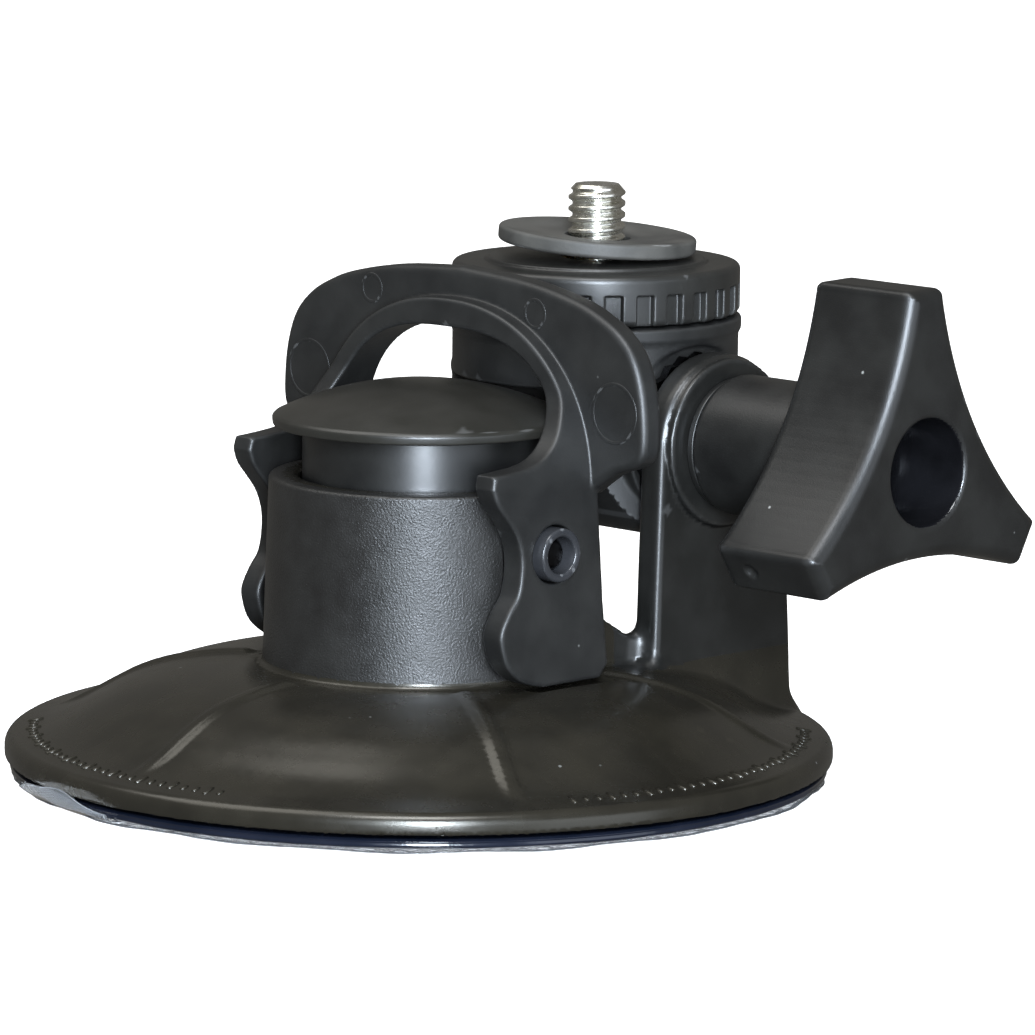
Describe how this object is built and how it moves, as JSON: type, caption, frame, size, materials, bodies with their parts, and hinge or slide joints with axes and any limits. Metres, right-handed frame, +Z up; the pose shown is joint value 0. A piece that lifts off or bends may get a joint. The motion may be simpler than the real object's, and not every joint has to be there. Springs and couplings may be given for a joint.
{
  "type": "suction cup camera mount",
  "caption": "Lever-locked suction cup mount for a dash camera: ribbed disc base, plunger with flip lever, tilting head with camera stud and lock wheel, three-lobed clamp knob.",
  "frame": {"origin": "centre of the round base's underside, on the release film", "axes": "+Z up out of the base, +X along the tilt axis towards the knob, the lever flips towards -Y"},
  "size_m": [0.0926, 0.0951, 0.062],
  "materials": {
    "satin_black": "satin injection-moulded plastic",
    "cap_black": "satin moulded plastic",
    "matte_black": "fine-grained moulded plastic",
    "wheel_black": "smooth moulded plastic",
    "knob_black": "fine speckled moulded plastic",
    "gloss_black": "polished moulded plastic",
    "cup_rubber": "glossy soft PVC",
    "washer_rubber": "matte rubber",
    "clear_film": "clear film",
    "zinc": "bright zinc plate",
    "black_steel": "black oxide",
    "spring_steel": "bright drawn wire",
    "brass": "knurled brass"
  },
  "bodies": {
    "base": {"base_shell": "satin_black", "suction_cup": "cup_rubber", "release_film": "clear_film", "return_spring": "spring_steel"},
    "plunger_group": {"plunger": "gloss_black", "plunger_cap": "cap_black", "pivot_tube": "gloss_black", "pivot_pin": "spring_steel", "cup_anchor": "spring_steel"},
    "lever_group": {"lever": "matte_black"},
    "head": {"head_block": "matte_black", "detent_disc": "black_steel", "captive_nut": "zinc", "camera_stud": "zinc", "stud_retainer": "matte_black"},
    "washer": {"rubber_washer": "washer_rubber"},
    "wheel": {"lock_wheel": "wheel_black", "wheel_insert": "brass"},
    "knob_group": {"knob": "knob_black", "knob_bolt": "black_steel", "thrust_washer": "gloss_black"}
  },
  "joints": [
    {"name": "plunger_slide", "type": "slide", "parent": "base", "child": "plunger_group", "axis": [0, 0, 1], "range_m": [-0.0029, 0], "deforming": ["return_spring", "suction_cup"]},
    {"name": "lever_flip", "type": "hinge", "parent": "plunger_group", "child": "lever_group", "pos_m": [0, 0, 0.0263], "axis": [1, 0, 0], "range_deg": [0, 90]},
    {"name": "head_tilt", "type": "hinge", "parent": "base", "child": "head", "pos_m": [0, 0.0287, 0.0353], "axis": [1, 0, 0], "range_deg": [-95, 0]},
    {"name": "knob_turn", "type": "hinge", "parent": "base", "child": "knob_group", "pos_m": [0.03, 0.0287, 0.0353], "axis": [1, 0, 0], "continuous": true},
    {"name": "washer_lift", "type": "slide", "parent": "head", "child": "washer", "axis": [0, 0, 1], "range_m": [0, 0.00381]},
    {"name": "wheel_turn", "type": "hinge", "parent": "washer", "child": "wheel", "pos_m": [-0.002, 0.0287, 0.05], "axis": [0, 0, 1], "range_deg": [0, 1080]}
  ],
  "couplings": [
    {"joint": "lever_flip", "follows": "plunger_slide", "rad_per_m": -541.6},
    {"joint": "wheel_turn", "follows": "washer_lift", "rad_per_m": 4947.3}
  ]
}
